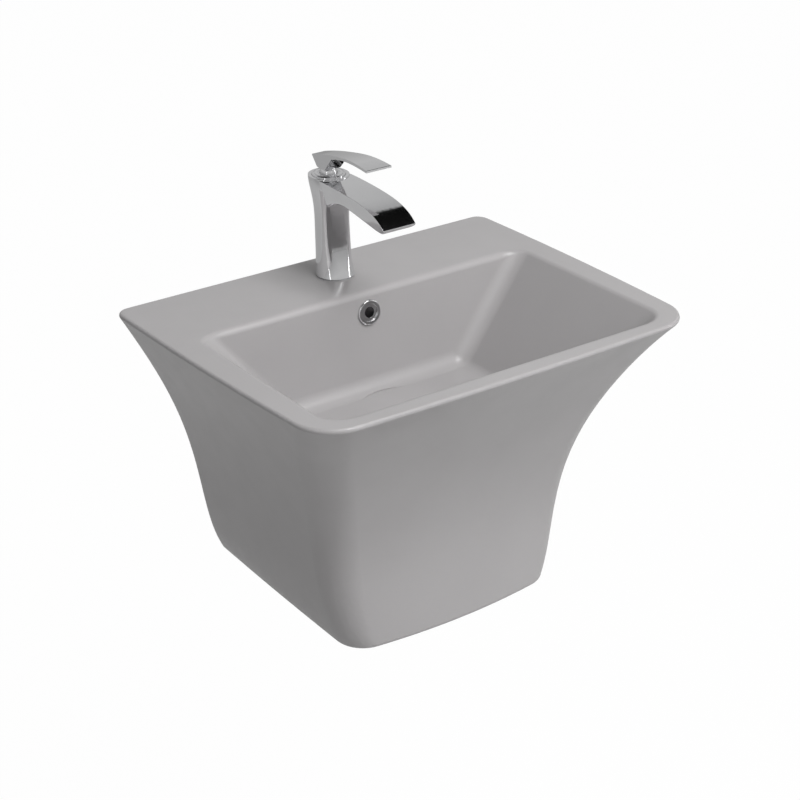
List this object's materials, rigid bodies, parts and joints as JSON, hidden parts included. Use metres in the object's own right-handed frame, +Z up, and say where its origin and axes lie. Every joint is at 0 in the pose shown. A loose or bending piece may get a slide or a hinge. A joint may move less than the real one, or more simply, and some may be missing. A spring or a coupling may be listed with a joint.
{
  "type": "wall-hung basin",
  "caption": "Wall-hung hand basin: flared one-piece ceramic bowl and skirt, with a deck-mounted single-lever tap, push plug, overflow and bottle trap.",
  "frame": {"origin": "on the wall, midway between the two fixing bolts", "axes": "+X to the right seen from the front, +Y into the wall, +Z up"},
  "size_m": [0.5198, 0.4478, 0.4999],
  "materials": {
    "ceramic": "grey gloss glaze",
    "chrome": "polished chrome plate",
    "brass": "turned, unplated",
    "steel": "zinc-plated steel",
    "rubber": "matte black rubber",
    "white_plastic": "moulded",
    "dark_plastic": "moulded"
  },
  "bodies": {
    "basin": {"backnut": "brass", "base_gasket": "rubber", "basin_body": "ceramic", "bolt_nuts": "steel", "bolt_sleeves": "white_plastic", "bolt_washers": "steel", "cartridge_body": "white_plastic", "cartridge_nut": "brass", "cartridge_seal": "rubber", "clamp_plate": "steel", "clamp_rubber": "rubber", "cup_ring": "chrome", "cup_seal": "rubber", "fixing_stud": "steel", "flange_seal": "rubber", "hanger_bolts": "steel", "head_collar": "chrome", "lower_seal": "rubber", "outlet_insert": "dark_plastic", "outlet_pipe": "chrome", "overflow_ring": "chrome", "plug_guide": "white_plastic", "stud_nut": "brass", "tap_body": "chrome", "trap_cup": "chrome", "trap_head": "chrome", "trap_inlet_nut": "chrome", "trap_outlet_nut": "chrome", "wall_rose": "chrome", "waste_body": "chrome", "waste_tail": "chrome"},
    "tap_rotor": {"cartridge_rotor": "brass", "rotor_pin": "steel"},
    "lever": {"lever_handle": "chrome", "lever_stem": "steel", "grub_screw": "steel", "screw_cap": "dark_plastic"},
    "plug": {"plug_dome": "chrome", "plug_seal": "rubber", "plug_stem": "brass"}
  },
  "joints": [
    {"name": "lever_turn", "type": "hinge", "parent": "basin", "child": "tap_rotor", "pos_m": [0, -0.046, 0.1955], "axis": [0, 0, 1], "range_deg": [-45, 45]},
    {"name": "lever_lift", "type": "hinge", "parent": "tap_rotor", "child": "lever", "pos_m": [0, -0.046, 0.1955], "axis": [-1, 0, 0], "range_deg": [0, 22]},
    {"name": "plug_press", "type": "slide", "parent": "basin", "child": "plug", "axis": [0, 0, 1], "range_m": [0, 0.008]}
  ]
}
